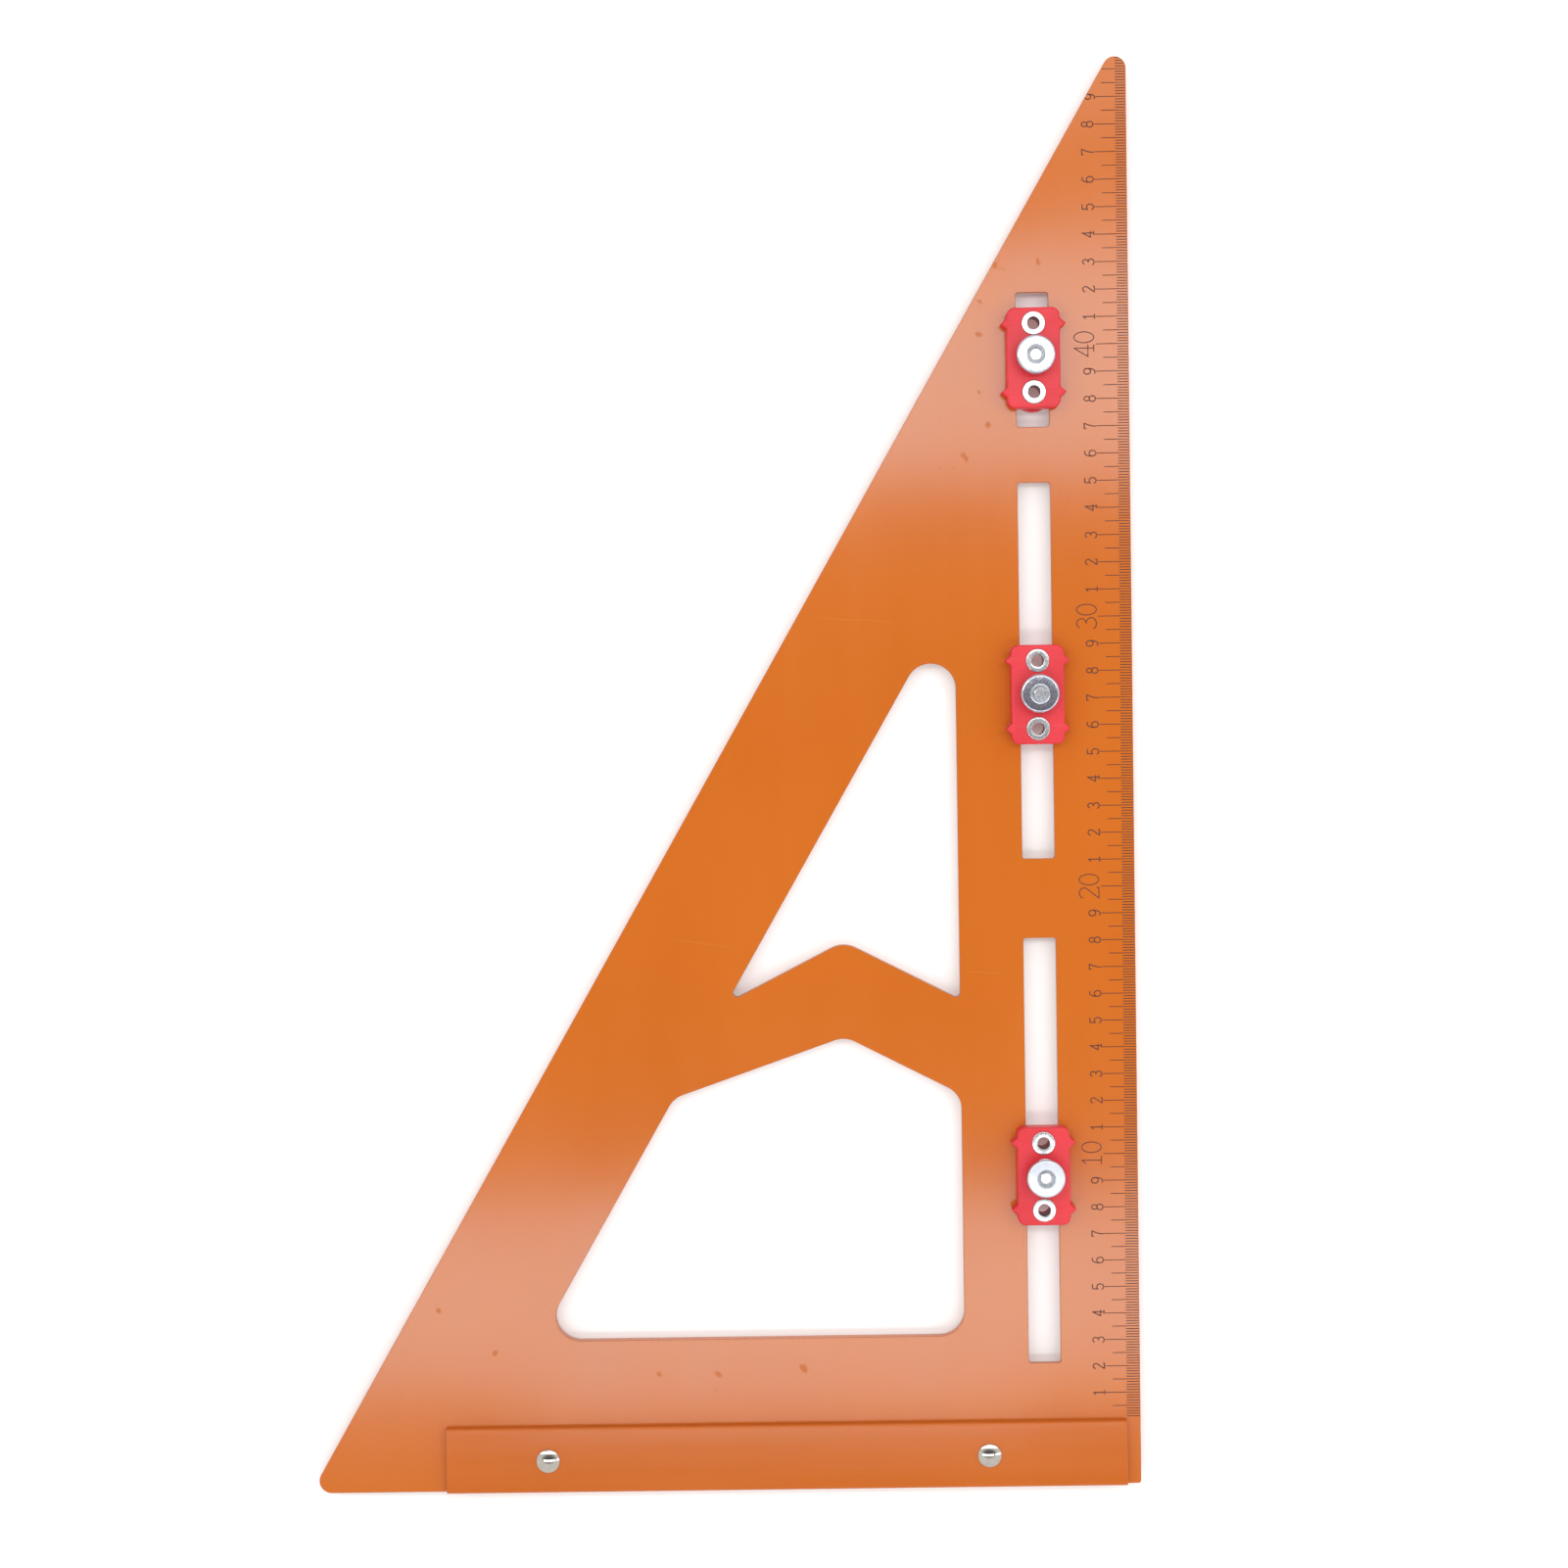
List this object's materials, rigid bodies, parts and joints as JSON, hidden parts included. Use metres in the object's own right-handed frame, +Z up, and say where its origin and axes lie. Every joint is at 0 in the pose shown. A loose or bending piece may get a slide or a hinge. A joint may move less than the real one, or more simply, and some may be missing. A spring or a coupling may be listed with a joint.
{
  "type": "rafter square",
  "caption": "Large triangular layout square with a two-sided fence bar, a centimetre scale on its long edge, and clamped drill guides that slide in slots.",
  "frame": {"origin": "centre of the footprint, on the surface that the lower fence bar rests on", "axes": "+X from the sloping edge towards the scale edge, +Y along the scale from the fence to the tip, +Z up through the plate"},
  "size_m": [0.3086, 0.529, 0.0214],
  "materials": {
    "orange_anodised": "satin orange anodised",
    "fence_anodised": "satin orange anodised",
    "red_plastic": "fine moulded texture",
    "bush_steel": "turned",
    "zinc_steel": "bright zinc plated",
    "nickel": "polished nickel plate"
  },
  "bodies": {
    "square": {"plate": "orange_anodised", "fence_top_bar": "fence_anodised", "fence_bottom_bar": "fence_anodised", "fence_rivet_near": "nickel", "fence_rivet_far": "nickel"},
    "upper_guide": {"upper_guide_body": "red_plastic", "upper_drill_bush_a": "bush_steel", "upper_drill_bush_b": "bush_steel"},
    "upper_nut": {"upper_thumb_nut": "zinc_steel"},
    "upper_clamp": {"upper_clamp_stud": "zinc_steel", "upper_slot_shoe": "red_plastic"},
    "middle_guide": {"middle_guide_body": "red_plastic", "middle_drill_bush_a": "bush_steel", "middle_drill_bush_b": "bush_steel"},
    "middle_nut": {"middle_thumb_nut": "zinc_steel"},
    "middle_clamp": {"middle_clamp_stud": "zinc_steel", "middle_slot_shoe": "red_plastic"},
    "lower_guide": {"lower_guide_body": "red_plastic", "lower_drill_bush_a": "bush_steel", "lower_drill_bush_b": "bush_steel"},
    "lower_nut": {"lower_thumb_nut": "zinc_steel"},
    "lower_clamp": {"lower_clamp_stud": "zinc_steel", "lower_slot_shoe": "red_plastic"}
  },
  "joints": [
    {"name": "upper_guide_slide", "type": "slide", "parent": "square", "child": "upper_guide", "axis": [0, 1, 0], "range_m": [-0.0054, 0.0052]},
    {"name": "upper_nut_turn", "type": "hinge", "parent": "upper_guide", "child": "upper_nut", "pos_m": [0.11915, 0.15514, 0.0214], "axis": [0, 0, 1], "range_deg": [0, 360]},
    {"name": "upper_clamp_drop", "type": "slide", "parent": "upper_guide", "child": "upper_clamp", "axis": [0, 0, -1], "range_m": [0, 0.0008]},
    {"name": "middle_guide_slide", "type": "slide", "parent": "square", "child": "middle_guide", "axis": [0, 1, 0], "range_m": [-0.0433, 0.0605]},
    {"name": "middle_nut_turn", "type": "hinge", "parent": "middle_guide", "child": "middle_nut", "pos_m": [0.11915, 0.03194, 0.0214], "axis": [0, 0, 1], "range_deg": [0, 360]},
    {"name": "middle_clamp_drop", "type": "slide", "parent": "middle_guide", "child": "middle_clamp", "axis": [0, 0, -1], "range_m": [0, 0.0008]},
    {"name": "lower_guide_slide", "type": "slide", "parent": "square", "child": "lower_guide", "axis": [0, 1, 0], "range_m": [-0.0538, 0.0705]},
    {"name": "lower_nut_turn", "type": "hinge", "parent": "lower_guide", "child": "lower_nut", "pos_m": [0.11915, -0.14666, 0.0214], "axis": [0, 0, 1], "range_deg": [0, 360]},
    {"name": "lower_clamp_drop", "type": "slide", "parent": "lower_guide", "child": "lower_clamp", "axis": [0, 0, -1], "range_m": [0, 0.0008]}
  ],
  "couplings": [
    {"joint": "upper_clamp_drop", "follows": "upper_nut_turn", "m_per_rad": 0.00012732},
    {"joint": "middle_clamp_drop", "follows": "middle_nut_turn", "m_per_rad": 0.00012732},
    {"joint": "lower_clamp_drop", "follows": "lower_nut_turn", "m_per_rad": 0.00012732}
  ]
}
